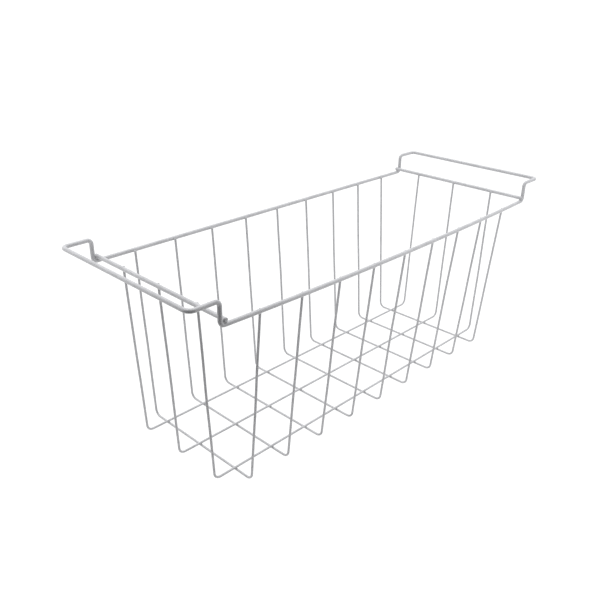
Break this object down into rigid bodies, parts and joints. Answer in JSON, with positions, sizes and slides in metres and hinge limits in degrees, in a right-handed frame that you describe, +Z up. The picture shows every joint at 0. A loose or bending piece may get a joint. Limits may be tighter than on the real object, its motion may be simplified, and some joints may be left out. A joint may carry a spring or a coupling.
{
  "type": "hanging wire basket",
  "caption": "Long hanging basket of coated steel wire: a bent rod rim with a raised hanger bar at each end, cross bars, and a tapered open mesh of U-shaped wires.",
  "frame": {"origin": "on the floor that the basket stands on, under the middle of the basket, where the middle side wire rests", "axes": "+X along the long rails towards the right-hand hanger bar, +Y towards the straight back rail and away from the bowed front rail, +Z up towards the rim"},
  "size_m": [0.6118, 0.2224, 0.2394],
  "materials": {
    "coated_rod": "satin polymer coating over drawn steel rod",
    "coated_wire": "satin polymer coating over drawn steel wire"
  },
  "bodies": {
    "root": {"rim_frame": "coated_rod", "cross_bar_left": "coated_rod", "cross_bar_right": "coated_rod", "side_wire_1": "coated_wire", "side_wire_2": "coated_wire", "side_wire_3": "coated_wire", "side_wire_4": "coated_wire", "side_wire_5": "coated_wire", "side_wire_6": "coated_wire", "side_wire_7": "coated_wire", "side_wire_8": "coated_wire", "side_wire_9": "coated_wire", "end_wire_1": "coated_wire", "end_wire_2": "coated_wire", "end_wire_3": "coated_wire"}
  },
  "joints": []
}
